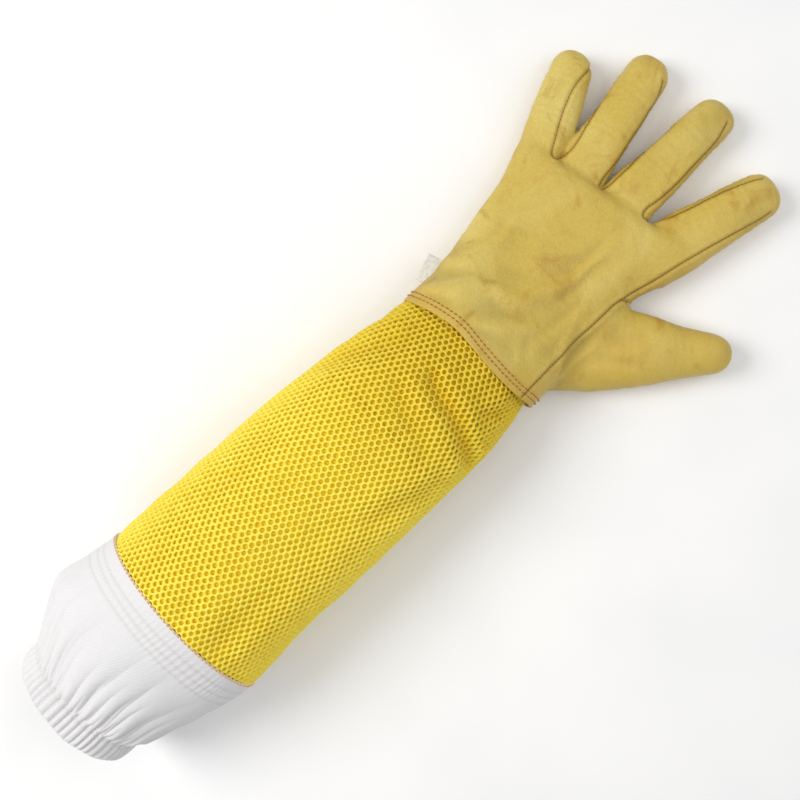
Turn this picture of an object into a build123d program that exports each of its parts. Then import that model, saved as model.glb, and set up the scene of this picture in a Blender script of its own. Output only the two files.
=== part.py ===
"""Beekeeping glove, left hand: leather hand, ventilated mesh sleeve and white elastic cuff.

Frame, in millimetres: +X towards the fingertips, +Y towards the little finger, +Z out of the back of
the hand. The glove lies palm down and open, as it is when worn, with its underside on z = 0.
"""

import math
import os

from build123d import *

os.makedirs("parts", exist_ok=True)

# Driving dimensions
LEATHER = 1.2  # leather thickness
GAP = 0.15  # half of the clearance between two bodies
MARGIN = 1.0  # spare degrees on each side of a hinge notch
FAR = 400.0  # larger than the glove, for cutting regions

# Sleeve stations: x, centre y, width, height of the outer surface
ELASTIC_END = -254.0
CASING_LENGTH = 13.0
MESH_END = -173.5
WRIST_FOLD = 22.0
HEM_EDGE = 43.5
HEM_SPAN, HEM_HEIGHT, HEM_ROUND = 95.0, 61.0, 29.0
PALM_START = 84.0
SLEEVE = [
    (MESH_END, 11.0, 112.0, 86.0),
    (-110.0, 12.0, 111.0, 84.0),
    (-40.0, 12.0, 104.0, 76.0),
    (HEM_EDGE + 12.0, 10.5, 93.0, 60.0),
]
CUFF = [
    (MESH_END, 11.0, 112.0, 86.0),
    (-202.0, 15.0, 110.0, 86.0),
    (-224.0, 15.5, 100.0, 84.0),
    (ELASTIC_END + CASING_LENGTH, 13.0, 80.0, 79.0),
]
MESH_OUTER, MESH_SPACER, MESH_LINING = 1.0, 1.6, 0.5
CANVAS = 1.0
ARM_RADIUS = 36.0  # inside of the elastic end, relaxed
ELASTIC_WIDTH = 10.0
CASING_RADIUS = 39.5
RING_Y = 13.0

# Palm block outline (x, y), anticlockwise, and its height and edge rounding
PALM = [(PALM_START, -34.5), (181.4, -36), (153.4, 79), (PALM_START, 62.5)]
CROTCH = (167.4, 21.5, 13.7)  # x, y and direction of the normal of the line between the fingers
WEB = 1.5  # thickness of the leather between the fingers
PALM_HEIGHT = 31.0
PALM_ROUND = 11.0
LOW_SEAM, HIGH_SEAM = 6.5, 16.0  # heights of the two panel seams

# Fingers: base x, base y, direction, length beyond the base, base width, tip width
FINGERS = {
    "little": (154.4, 69.2, 24.5, 61.0, 25.5, 20.5),
    "ring": (162.2, 43.3, 12.0, 82.0, 28.2, 22.0),
    "middle": (170.2, 11.5, 2.0, 84.2, 30.5, 23.0),
    "index": (176.5, -26.0, -13.0, 64.5, 31.5, 24.0),
}
FINGER_HEIGHT = 23.0
FINGER_ROUND = 8.0
FINGER_LIFT = 0.6  # height of the underside of the fingers and thumb
FINGER_ROOT = 11.0  # how far each finger reaches back into the palm
THUMB = (106.0, -37.0, -48.5, 74.5, 34.0, 26.0)
THUMB_HEIGHT = 27.0
THUMB_ROOT = 16.0
MIDDLE_JOINT, TIP_JOINT = 0.34, 0.67  # shares of a finger's length
THUMB_JOINTS = (14.0, 44.0)  # along the thumb from its base
THUMB_OPENING = (26.0, 4.0, 22.0)  # width, and the heights it lies between, in the palm's side wall

# Hinges: height of the axis and largest fold
HINGE_HEIGHT = 8.0
KNUCKLE = (143.0, 21.0, 14.0)  # x, y and direction of the knuckle line's normal
KNUCKLE_FOLD, MIDDLE_FOLD, TIP_FOLD = 60.0, 80.0, 55.0
THUMB_FOLDS = (35.0, 60.0)
WRIST_BEND, WRIST_HEIGHT = 25.0, 33.0
CUFF_BEND, CUFF_HEIGHT = 15.0, 43.0
CUFF_FOLD = -188.0

# Trim
STRIP_SEAM = -25.5  # y of the seam between the back panel and the index side strip
HEM_WIDTH, HEM_THICKNESS, TUCK_THICKNESS = 10.0, 1.0, 1.5
THREAD, THREAD_WIDTH, THREAD_ROWS = 0.4, 0.8, (2.6, 5.6)
LABEL = [(51, 52), (69, 54), (64.5, 68), (51, 62.5)]
LABEL_HEIGHT, LABEL_THICKNESS = 27.0, 0.6
TAPE_WIDTH, TAPE_THICKNESS = 10.0, 0.8


def line_frame(x, y, angle):
    """A frame on the table whose x axis points along the given direction."""
    return Plane(origin=(x, y, 0), x_dir=(math.cos(math.radians(angle)), math.sin(math.radians(angle)), 0))


def along(base, distance):
    """The table frame at a distance along a finger given as (x, y, angle, ...)."""
    x, y, angle = base[:3]
    turn = math.radians(angle)
    return line_frame(x + distance * math.cos(turn), y + distance * math.sin(turn), angle)


def side_region(frame, height, fold_down, fold_up, forward):
    """Everything on one side of a hinge, less the notches that let it fold down and up."""
    sign = 1 if forward else -1
    low = height * math.tan(math.radians(fold_down / 2 + MARGIN)) if fold_down else 0
    rise = 120.0
    high = rise * math.tan(math.radians(fold_up / 2 + MARGIN)) if fold_up else 0
    upright = Plane(origin=frame.origin, x_dir=frame.x_dir, z_dir=-frame.y_dir)
    with BuildPart() as region:
        with BuildSketch(upright):
            with BuildLine():
                Polyline(
                    (sign * (GAP + low), -0.001),
                    (sign * GAP, height),
                    (sign * (GAP + high), height + rise),
                    (sign * FAR * 2, height + rise),
                    (sign * FAR * 2, -0.001),
                    close=True,
                )
            make_face()
        extrude(amount=FAR, both=True)
    return region.part


def stretch(frame, start, end):
    """Everything between two distances along a frame's x axis."""
    with BuildPart() as region:
        with BuildSketch(Plane(origin=frame.origin, x_dir=frame.x_dir, z_dir=-frame.y_dir)):
            with Locations(((start + end) / 2, 0)):
                Rectangle(end - start, FAR)
        extrude(amount=FAR, both=True)
    return region.part


def slab(low, high):
    """Everything between two heights."""
    with BuildPart() as layer:
        with BuildSketch(Plane.XY.offset(low)):
            Rectangle(2.5 * FAR, 2.5 * FAR)
        extrude(amount=high - low)
    return layer.part


def digit(base, height, rounding, root, inset):
    """A tapered finger with a round end, made smaller all round by the inset but open at its root."""
    length, wide, narrow = base[3:]
    root += 2 * inset
    frame = line_frame(*base[:3])
    tip = narrow / 2 - inset
    foot = wide / 2 - inset
    with BuildPart() as body:
        with BuildSketch(frame.offset(FINGER_LIFT + inset)):
            with BuildLine():
                start, end = (-root, foot), (length - narrow / 2, tip)
                Polyline((start[0], -foot), start, (0, foot), end)
                ThreePointArc(end, (length - inset, 0), (end[0], -tip))
                Polyline((end[0], -tip), (0, -foot), (start[0], -foot))
            make_face()
        extrude(amount=height - 2 * inset)
        middle = FINGER_LIFT + height / 2
        low_high = body.edges().filter_by(lambda e: abs(e.center().Z - middle) > height / 2 - inset - 0.01)
        outline = [e for e in low_high if frame.to_local_coords(e.center()).X > -root + 0.01]
        fillet(outline, rounding - inset)
    return body.part


def palm_block(inset):
    """The flat part of the hand, made smaller all round by the inset, with square ends."""
    height = PALM_HEIGHT - 2 * inset
    with BuildPart() as body:
        with BuildSketch(Plane.XY.offset(inset)):
            with BuildLine():
                Polyline(*PALM, close=True)
            make_face()
            if inset:
                offset(amount=-inset, kind=Kind.INTERSECTION, mode=Mode.REPLACE)
        extrude(amount=height)
        wrist_end = body.edges().sort_by(Axis.X)[0].center().X + 0.5
        finger_end = -inset - 0.5
        level = body.edges().filter_by(lambda e: abs(e.center().Z - PALM_HEIGHT / 2) > height / 2 - 0.01)
        sides = level.filter_by(lambda e: e.center().X > wrist_end)
        sides = sides.filter_by(lambda e: crotch_frame.to_local_coords(e.center()).X < finger_end)
        fillet(sides, PALM_ROUND - inset)
    return body.part


def oval_loft(stations, inset):
    """A tube's solid through oval stations that all stand on the table."""
    with BuildPart() as body:
        for x, y, width, height in stations:
            with BuildSketch(Plane(origin=(x, y, height / 2), x_dir=(0, 1, 0), z_dir=(1, 0, 0))):
                Ellipse(width / 2 - inset, height / 2 - inset)
        loft()
    return body.part


def wrist_loft(inset):
    """The leather from the hem's oval to the flat palm's end face."""
    end_face = palm_block(max(inset, 0)).faces().sort_by(Axis.X)[0]
    with BuildPart() as body:
        with BuildSketch(Plane(origin=(HEM_EDGE, 10, HEM_HEIGHT / 2), x_dir=(0, 1, 0), z_dir=(1, 0, 0))) as oval:
            RectangleRounded(HEM_SPAN - 2 * inset, HEM_HEIGHT - 2 * inset, HEM_ROUND - inset)
        loft([oval.sketch.face(), end_face], ruled=True)
    return body.part


def between(low, high):
    """Everything between two x stations."""
    with BuildPart() as layer:
        with BuildSketch(Plane.YZ.offset(low)):
            Rectangle(2.5 * FAR, 2.5 * FAR)
        extrude(amount=high - low)
    return layer.part


def beside(low, high):
    """Everything between two y stations."""
    with BuildPart() as layer:
        with BuildSketch(Plane.XZ.offset(-low)):
            Rectangle(2.5 * FAR, 2.5 * FAR)
        extrude(amount=low - high)
    return layer.part


def ring(start, length, outer, inner):
    """A round ring about the arm opening's axis."""
    with BuildPart() as body:
        with BuildSketch(Plane(origin=(start, RING_Y, CASING_RADIUS), x_dir=(0, 1, 0), z_dir=(1, 0, 0))):
            Circle(outer)
            Circle(inner, mode=Mode.SUBTRACT)
        extrude(amount=length)
    return body.part


def join(*parts):
    """The parts as one."""
    with BuildPart() as whole:
        for part in parts:
            add(part)
    return whole.part


def cut(part, *tools):
    """The part less every tool."""
    with BuildPart() as rest:
        add(part)
        for tool in tools:
            add(tool, mode=Mode.SUBTRACT)
    return rest.part


def keep(part, *regions):
    """The part that lies inside every region."""
    with BuildPart() as rest:
        add(part)
        for region in regions:
            add(region, mode=Mode.INTERSECT)
    return rest.part


def save(name, part):
    """Writes one piece of the glove."""
    part.label = name
    export_step(part, f"parts/{name}.step")
    print(name, len(part.solids()), round(part.volume))


def save_panels(name, shell, *regions):
    """Writes a stretch of finger as its back, its side walls and its palm side."""
    stretch = keep(shell, *regions)
    save(f"{name}_back", keep(stretch, back_layer))
    save(f"{name}_fourchettes", keep(stretch, wall_layer))
    save(f"{name}_palm", keep(stretch, palm_layer))


# Leather forms and the layers that split them into panels
crotch_frame = line_frame(*CROTCH)
fingers_out = {n: digit(f, FINGER_HEIGHT, FINGER_ROUND, FINGER_ROOT, 0) for n, f in FINGERS.items()}
fingers_in = {n: digit(f, FINGER_HEIGHT, FINGER_ROUND, FINGER_ROOT, LEATHER) for n, f in FINGERS.items()}
thumb_out = digit(THUMB, THUMB_HEIGHT, FINGER_ROUND, THUMB_ROOT, 0)
thumb_in = digit(THUMB, THUMB_HEIGHT, FINGER_ROUND, THUMB_ROOT, LEATHER)
palm_out, palm_in = palm_block(0), palm_block(LEATHER)
wrist_out, wrist_in = wrist_loft(0), wrist_loft(LEATHER)
back_layer, wall_layer, palm_layer = slab(HIGH_SEAM, 130), slab(LOW_SEAM, HIGH_SEAM), slab(-1, LOW_SEAM)

# Hand: from the hem to the knuckle line
knuckle_frame = line_frame(*KNUCKLE)
hinge_behind = side_region(knuckle_frame, HINGE_HEIGHT, KNUCKLE_FOLD, 0, False)
hinge_ahead = side_region(knuckle_frame, HINGE_HEIGHT, KNUCKLE_FOLD, 0, True)
opening_width, opening_low, opening_high = THUMB_OPENING
with BuildPart() as thumb_opening:
    with BuildSketch(line_frame(*THUMB[:3]).offset(opening_low)):
        Rectangle(2 * THUMB_ROOT, opening_width)
    extrude(amount=opening_high - opening_low)
hand_shell = cut(join(wrist_out, palm_out), wrist_in, palm_in, thumb_opening.part)
hand_shell = keep(hand_shell, hinge_behind)
above_palm = slab(LOW_SEAM, 130)
save("hand_back_panel", keep(hand_shell, above_palm, beside(STRIP_SEAM, FAR)))
save("index_side_strip", keep(hand_shell, above_palm, beside(-FAR, STRIP_SEAM)))
save("hand_palm_panel", keep(hand_shell, palm_layer))

thumb_shell = cut(thumb_out, thumb_in)
thumb_frames = [along(THUMB, distance) for distance in THUMB_JOINTS]
thumb_behind = [side_region(f, HINGE_HEIGHT, a, 0, False) for f, a in zip(thumb_frames, THUMB_FOLDS)]
thumb_ahead = [side_region(f, HINGE_HEIGHT, a, 0, True) for f, a in zip(thumb_frames, THUMB_FOLDS)]
save("thumb_gusset", keep(cut(thumb_shell, palm_out, wrist_out), thumb_behind[0]))
thumb_back, thumb_front = slab(THUMB_HEIGHT / 2, 130), slab(-1, THUMB_HEIGHT / 2)
save("thumb_base_back", keep(thumb_shell, thumb_ahead[0], thumb_behind[1], thumb_back))
save("thumb_base_palm", keep(thumb_shell, thumb_ahead[0], thumb_behind[1], thumb_front))
save("thumb_tip_back", keep(thumb_shell, thumb_ahead[1], thumb_back))
save("thumb_tip_palm", keep(thumb_shell, thumb_ahead[1], thumb_front))

# Knuckles: the end of the palm, the web between the fingers, and each finger's first stretch
block_shell = cut(palm_out, palm_in)
save_panels("knuckle", block_shell, hinge_ahead, stretch(crotch_frame, -FAR, -WEB))
save("crotch_web", cut(keep(palm_out, stretch(crotch_frame, -WEB, 0)), *fingers_in.values()))
beyond_web = stretch(crotch_frame, 0, FAR)
for name, base in FINGERS.items():
    shell = cut(fingers_out[name], fingers_in[name])
    middle_frame = along(base, MIDDLE_JOINT * base[3])
    tip_frame = along(base, TIP_JOINT * base[3])
    middle_ahead = side_region(middle_frame, HINGE_HEIGHT, MIDDLE_FOLD, 0, True)
    middle_behind = side_region(middle_frame, HINGE_HEIGHT, MIDDLE_FOLD, 0, False)
    tip_ahead = side_region(tip_frame, HINGE_HEIGHT, TIP_FOLD, 0, True)
    tip_behind = side_region(tip_frame, HINGE_HEIGHT, TIP_FOLD, 0, False)
    save(f"{name}_base", keep(shell, beyond_web, middle_behind))
    save_panels(f"{name}_middle", shell, middle_ahead, tip_behind)
    save_panels(f"{name}_tip", shell, tip_ahead)

# Hem: leather turned in at the wrist, its thread, the care label and the mesh caught under it
hem_zone = between(HEM_EDGE, HEM_EDGE + HEM_WIDTH)
hem_in = wrist_loft(LEATHER + HEM_THICKNESS)
save("wrist_hem", keep(cut(wrist_in, hem_in), hem_zone))
save("mesh_tuck", keep(cut(hem_in, wrist_loft(LEATHER + HEM_THICKNESS + TUCK_THICKNESS)), hem_zone))
thread_zone = keep(cut(wrist_loft(-THREAD), wrist_out), slab(THREAD, 130))
rows = [keep(thread_zone, between(HEM_EDGE + x, HEM_EDGE + x + THREAD_WIDTH)) for x in THREAD_ROWS]
save("hem_stitching", join(*rows))
with BuildPart() as label:
    with BuildSketch(Plane.XY.offset(LABEL_HEIGHT)):
        with BuildLine():
            Polyline(*LABEL, close=True)
        make_face()
    extrude(amount=LABEL_THICKNESS)
save("care_label", cut(label.part, wrist_out))

# Sleeve: three layers of ventilated mesh on each side of the wrist fold
wrist_frame = line_frame(WRIST_FOLD, 0, 0)
wrist_ahead = side_region(wrist_frame, WRIST_HEIGHT, WRIST_BEND, WRIST_BEND, True)
wrist_behind = side_region(wrist_frame, WRIST_HEIGHT, WRIST_BEND, WRIST_BEND, False)
before_hem = between(MESH_END, HEM_EDGE)
depth, outside = 0, oval_loft(SLEEVE, 0)
for name, thickness in {"outer": MESH_OUTER, "spacer": MESH_SPACER, "lining": MESH_LINING}.items():
    depth += thickness
    inside = oval_loft(SLEEVE, depth)
    layer = cut(outside, inside)
    save(f"sleeve_mesh_{name}", keep(layer, wrist_behind))
    save(f"wrist_mesh_{name}", keep(layer, wrist_ahead, before_hem))
    outside = inside
tape = cut(outside, oval_loft(SLEEVE, depth + TAPE_THICKNESS))
tape_zone = keep(between(MESH_END + TAPE_WIDTH, WRIST_FOLD), slab(0, 20), beside(7, 7 + TAPE_WIDTH))
save("sleeve_side_seam", keep(tape, tape_zone, wrist_behind))
save("seam_binding", keep(tape, between(MESH_END, MESH_END + TAPE_WIDTH)))

# Cuff: canvas, with an elastic end in a folded casing
cuff_frame = line_frame(CUFF_FOLD, 0, 0)
canvas = cut(oval_loft(CUFF, 0), oval_loft(CUFF, CANVAS))
cuff_ahead = side_region(cuff_frame, CUFF_HEIGHT, CUFF_BEND, CUFF_BEND, True)
save("canvas_seam_band", keep(canvas, cuff_ahead))
save("canvas_cuff", keep(canvas, side_region(cuff_frame, CUFF_HEIGHT, CUFF_BEND, CUFF_BEND, False)))
pocket_start = ELASTIC_END + CANVAS
pocket = ring(pocket_start, CASING_LENGTH - CANVAS, CASING_RADIUS - CANVAS, ARM_RADIUS + CANVAS)
save("elastic_casing", cut(ring(ELASTIC_END, CASING_LENGTH, CASING_RADIUS, ARM_RADIUS), pocket))
save("elastic_band", ring(pocket_start, ELASTIC_WIDTH, CASING_RADIUS - CANVAS, ARM_RADIUS + CANVAS))
stitches = ring(ELASTIC_END + CASING_LENGTH - 2, THREAD_WIDTH, CASING_RADIUS + THREAD, CASING_RADIUS)
save("casing_stitching", keep(stitches, slab(THREAD, 130)))
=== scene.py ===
"""Looks for the beekeeping glove: leather hand, ventilated mesh sleeve, white canvas cuff.

Shapes are worked out in millimetres in the row frame (+X fingertips, +Y little finger, +Z back of
the hand) and stored in metres. Every mesh keeps its rest place in the attribute "Rest", in
millimetres, so that patterns stay on the cloth in every pose.
"""

import math

import bpy
import numpy as np
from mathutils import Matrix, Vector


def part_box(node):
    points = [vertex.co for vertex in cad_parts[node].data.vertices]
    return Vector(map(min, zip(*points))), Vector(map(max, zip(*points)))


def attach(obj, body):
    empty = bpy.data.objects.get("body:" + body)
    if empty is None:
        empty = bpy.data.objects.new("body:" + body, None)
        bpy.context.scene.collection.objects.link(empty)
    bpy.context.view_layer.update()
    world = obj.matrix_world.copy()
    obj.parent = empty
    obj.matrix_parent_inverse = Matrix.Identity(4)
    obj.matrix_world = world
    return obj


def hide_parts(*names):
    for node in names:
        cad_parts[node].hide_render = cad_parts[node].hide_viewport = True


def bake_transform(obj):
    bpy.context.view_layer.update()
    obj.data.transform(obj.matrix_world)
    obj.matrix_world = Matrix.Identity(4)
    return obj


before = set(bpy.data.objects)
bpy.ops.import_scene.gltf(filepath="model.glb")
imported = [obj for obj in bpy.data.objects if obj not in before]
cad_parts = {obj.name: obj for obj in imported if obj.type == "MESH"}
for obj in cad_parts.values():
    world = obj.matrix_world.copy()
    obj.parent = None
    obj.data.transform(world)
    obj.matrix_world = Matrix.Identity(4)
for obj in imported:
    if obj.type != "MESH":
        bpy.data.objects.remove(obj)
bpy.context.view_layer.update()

import openvdb as vdb
from mathutils import Vector

MM = 0.001
rng = np.random.default_rng(11)

# ---------------------------------------------------------------- numbers shared with the CAD part
MESH_END = -173.5
HEM_X = 43.5
KNUCKLE = (143.0, 21.0, 14.0)
CROTCH = (167.4, 21.5, 13.7)
FINGERS = {
    "little": (154.4, 69.2, 24.5, 62.6),
    "ring": (162.2, 43.3, 12.0, 82.6),
    "middle": (170.2, 11.5, 2.0, 84.4),
    "index": (176.5, -26.0, -13.0, 69.0),
}
JOINT_LENGTHS = {"little": 61.0, "ring": 82.0, "middle": 84.2, "index": 64.5}
MIDDLE_JOINT, TIP_JOINT = 0.34, 0.67
THUMB = (106.0, -37.0, -48.5, 78.0)
THUMB_JOINTS = (14.0, 44.0)

# Half widths of the fingers: share of the length, half width, sideways shift of the centre
FINGER_SHAPES = {
    "little": [(-0.4, 11.5, -0.3), (0, 13.6, -1.6), (0.35, 14.3, -1.2), (0.7, 12.8, 0.2), (1, 11.2, 1.2)],
    "ring": [(-0.3, 15, 0), (0, 15.6, 0), (0.35, 14.5, 0), (0.7, 13.3, 0.5), (1, 12.2, 1.4)],
    "middle": [(-0.3, 15.5, 0), (0, 16.3, 0), (0.35, 15, 0), (0.7, 13.6, -0.4), (1, 12.5, -1.2)],
    "index": [(-0.4, 16, 0), (0, 17.6, 0), (0.35, 16, 0), (0.7, 14.2, 0), (1, 12.6, 0.4)],
}
THUMB_SHAPE = [(-30, 24, -10), (0, 25.2, -5), (15, 23.4, -4.2), (35, 18.8, -3.6)]
THUMB_SHAPE += [(50, 15, -2.8), (64, 12.2, -2), (80, 10.5, -1)]

# Palm and wrist: x, low y, high y, underside, top, roundness of the section
PALM_STATIONS = [
    (30, -39, 57, 0, 63, 2.3),
    (45, -37.6, 57, 0, 60, 2.35),
    (62, -37.2, 58, 0, 53, 2.5),
    (82, -36.5, 61.6, 0, 43, 2.7),
    (109, -33, 67.2, 0, 35, 2.9),
    (131, -33, 72.6, 0, 32, 3.0),
    (149, -36.5, 77.6, 0, 30.5, 3.0),
    (170, -41, 80, 0, 27, 3.0),
    (190, -46, 82, 0, 26, 3.0),
]


# ---------------------------------------------------------------- small tools
def curve(table):
    """A smooth function through (x, value) pairs."""
    xs, ys = np.array(table, float).T
    slopes = np.gradient(ys, xs)

    def value(x):
        x = np.clip(x, xs[0], xs[-1])
        i = np.clip(np.searchsorted(xs, x) - 1, 0, len(xs) - 2)
        step = xs[i + 1] - xs[i]
        t = (x - xs[i]) / step
        a, b = ys[i], ys[i + 1]
        c, d = slopes[i] * step, slopes[i + 1] * step
        return a + t * (c + t * (3 * (b - a) - 2 * c - d + t * (2 * (a - b) + c + d)))

    return value


def curves(table):
    """One smooth function of x for each further column of a table."""
    table = np.array(sorted(map(list, table)), float)
    return [curve(table[:, [0, i]]) for i in range(1, table.shape[1])]


def smooth_step(x, low, high):
    t = np.clip((x - low) / (high - low), 0, 1)
    return t * t * (3 - 2 * t)


def bell(x, half_width):
    return np.exp(-((x / half_width) ** 2))


def axes_of(base):
    turn = math.radians(base[2])
    return np.array([math.cos(turn), math.sin(turn)]), np.array([-math.sin(turn), math.cos(turn)])


def local(base, x, y):
    """Distance along and across a frame given as (x, y, degrees, ...)."""
    forward, left = axes_of(base)
    x, y = x - base[0], y - base[1]
    return x * forward[0] + y * forward[1], x * left[0] + y * left[1]


def at(base, along, across=0.0, z=8.0):
    forward, left = axes_of(base)
    x, y = np.array(base[:2]) + along * forward + across * left
    return (x * MM, y * MM, z * MM)


class Waves:
    """A smooth random field: a sum of sines in random directions, about -1 to 1."""

    def __init__(self, lengths, count, seed):
        draw = np.random.default_rng(seed)
        self.terms = []
        for length in lengths:
            for _ in range(count):
                v = draw.normal(size=3)
                v *= 2 * math.pi / (length * np.linalg.norm(v))
                self.terms.append((v, draw.uniform(0, 2 * math.pi), 1 / math.sqrt(count)))

    def __call__(self, p):
        total = np.zeros(len(p))
        for v, phase, size in self.terms:
            total += size * np.sin(p @ v + phase)
        return total / math.sqrt(max(1, len(self.terms) / 6))


def line_distance(p, line):
    """Distance in the xy plane from points to a polyline, how far along it the nearest place is,
    and the distance with a minus sign on the line's right."""
    best, place, run, side = np.full(len(p), 1e9), np.zeros(len(p)), 0.0, np.ones(len(p))
    for a, b in zip(line[:-1], line[1:]):
        a, b = np.array(a, float), np.array(b, float)
        d = b - a
        size = np.linalg.norm(d)
        t = np.clip(((p[:, :2] - a) @ d) / size**2, 0, 1)
        gap = np.linalg.norm(p[:, :2] - a - t[:, None] * d, axis=1)
        nearer = gap < best
        cross = d[0] * (p[:, 1] - a[1]) - d[1] * (p[:, 0] - a[0])
        side = np.where(nearer, np.where(cross < 0, -1.0, 1.0), side)
        best = np.where(nearer, gap, best)
        place = np.where(nearer, run + t * size, place)
        run += size
    return best, place, side * best, run


def folds_at(p, folds, ends, trough, spread):
    """Height of soft folds along lines, each with a shallower trough beside it."""
    height = np.zeros(len(p))
    for line, size, wide in folds:
        gap, place, _, total = line_distance(p, line)
        fade = smooth_step(place, 0, ends) * smooth_step(total - place, 0, ends)
        height += size * fade * (bell(gap, wide) - trough * bell(gap - spread * wide, wide))
    return height


def smooth_line(points, steps=6):
    """A Catmull-Rom line through points."""
    p = np.array([points[0]] + list(points) + [points[-1]], float)
    out = []
    for i in range(1, len(p) - 2):
        for t in np.arange(steps) / steps:
            a, b, c, d = p[i - 1 : i + 3]
            bend, twist = 2 * a - 5 * b + 4 * c - d, 3 * b - a - 3 * c + d
            out.append(0.5 * (2 * b + (c - a) * t + bend * t * t + twist * t**3))
    out.append(p[-1])
    return out


def normals_of(points, quads):
    a, b, c, d = (points[quads[:, i]] for i in range(4))
    n = np.cross(c - a, d - b)
    total = np.zeros_like(points)
    for i in range(4):
        np.add.at(total, quads[:, i], n)
    return total / np.maximum(np.linalg.norm(total, axis=1), 1e-9)[:, None]


def piece(name, points, quads, material, normals=None, **fields):
    """A mesh object from points in mm and quads, with its rest place and other fields as attributes."""
    mesh = bpy.data.meshes.new(name)
    quads = np.asarray(quads, np.int32)
    points = np.asarray(points, float)
    mesh.vertices.add(len(points))
    mesh.vertices.foreach_set("co", (points * MM).astype(np.float32).ravel())
    mesh.loops.add(quads.size)
    mesh.loops.foreach_set("vertex_index", quads.ravel())
    mesh.polygons.add(len(quads))
    mesh.polygons.foreach_set("loop_start", np.arange(0, quads.size, 4, dtype=np.int32))
    mesh.update(calc_edges=True)
    for key, values in {"Rest": points, **fields}.items():
        kind, slot = ("FLOAT_VECTOR", "vector") if np.ndim(values) == 2 else ("FLOAT", "value")
        layer = mesh.attributes.new(key, kind, "POINT")
        layer.data.foreach_set(slot, np.asarray(values, np.float32).ravel())
    mesh.materials.append(material)
    mesh.shade_smooth()
    if normals is not None:
        mesh.normals_split_custom_set_from_vertices([tuple(n) for n in normals])
    obj = bpy.data.objects.new(name, mesh)
    bpy.context.scene.collection.objects.link(obj)
    return obj


def rides(obj, body, slot, *nodes):
    """A piece that moves with one body and stands for CAD nodes, which are hidden. The slot argument is not used.
    """
    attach(obj, body)
    if nodes:
        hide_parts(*nodes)


def blends(obj, between, slot, *nodes):
    """Bakes a piece's transform into its mesh and hides the CAD nodes it stands for. The between and slot
    arguments are not used.
    """
    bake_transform(obj)
    if nodes:
        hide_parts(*nodes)


def grid_quads(rows, columns, wrap_rows=False, wrap_columns=False):
    """Quads of a grid of points numbered row by row."""
    r = np.arange(rows if wrap_rows else rows - 1)
    c = np.arange(columns if wrap_columns else columns - 1)
    r, c = (m.ravel() for m in np.meshgrid(r, c, indexing="ij"))
    r2, c2 = (r + 1) % rows, (c + 1) % columns
    return np.stack([r * columns + c, r2 * columns + c, r2 * columns + c2, r * columns + c2], axis=1)


def thick_shell(points, quads, normals, thickness):
    """The surface, a second one beneath it, and a rim along every open edge."""
    count = len(points)
    inner = points - normals * thickness
    border = border_edges(quads)
    rim = np.stack([border[:, 1], border[:, 0], border[:, 0] + count, border[:, 1] + count], axis=1)
    faces = np.vstack([quads, quads[:, ::-1] + count, rim])
    return np.vstack([points, inner]), faces, np.vstack([normals, -normals])


def edges_of(quads):
    return np.concatenate([quads[:, [0, 1]], quads[:, [1, 2]], quads[:, [2, 3]], quads[:, [3, 0]]])


def border_edges(quads):
    """The edges that belong to one quad only."""
    edges = edges_of(quads)
    keys = np.sort(edges, axis=1).astype(np.int64)
    _, first, uses = np.unique(keys[:, 0] * (1 << 32) + keys[:, 1], return_index=True, return_counts=True)
    return edges[first[uses == 1]]


def face_outward(points, quads, centre):
    """The quads and normals turned so that they face away from a line along x through centre."""
    normals = normals_of(points, quads)
    if (normals * (points - centre) * [0, 1, 1]).sum() < 0:
        return quads[:, ::-1], -normals
    return quads, normals


def compact(points_count, quads):
    """The used point numbers and the quads renumbered to them."""
    used = np.unique(quads)
    number = np.full(points_count, -1)
    number[used] = np.arange(len(used))
    return used, number[quads]


def tube_between(path, radius, sides=6, closed=False):
    """Points and quads of a tube along a path, with the given radius, which may change along it."""
    path = np.array(path, float)
    ahead = np.gradient(path, axis=0)
    ahead /= np.linalg.norm(ahead, axis=1)[:, None]
    up = np.tile([0.0, 0.0, 1.0], (len(path), 1))
    up[np.abs(ahead[:, 2]) > 0.9] = [1.0, 0.0, 0.0]
    side = np.cross(ahead, up)
    side /= np.linalg.norm(side, axis=1)[:, None]
    up = np.cross(side, ahead)
    size = np.broadcast_to(radius, len(path))
    turn = 2 * np.pi * np.arange(sides) / sides
    rings = path[:, None] + size[:, None, None] * (
        np.cos(turn)[None, :, None] * side[:, None] + np.sin(turn)[None, :, None] * up[:, None]
    )
    return rings.reshape(-1, 3), grid_quads(len(path), sides, wrap_columns=True)[:, ::-1]


def gather(parts):
    """Many (points, quads) as one."""
    points, quads, start = [], [], 0
    for p, q in parts:
        points.append(p)
        quads.append(q + start)
        start += len(p)
    return np.vstack(points), np.vstack(quads)


# ---------------------------------------------------------------- materials
def srgb(*colour):
    linear = [c / 255 / 12.92 if c <= 10.31 else ((c / 255 + 0.055) / 1.055) ** 2.4 for c in colour]
    return (*linear, 1.0)


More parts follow.
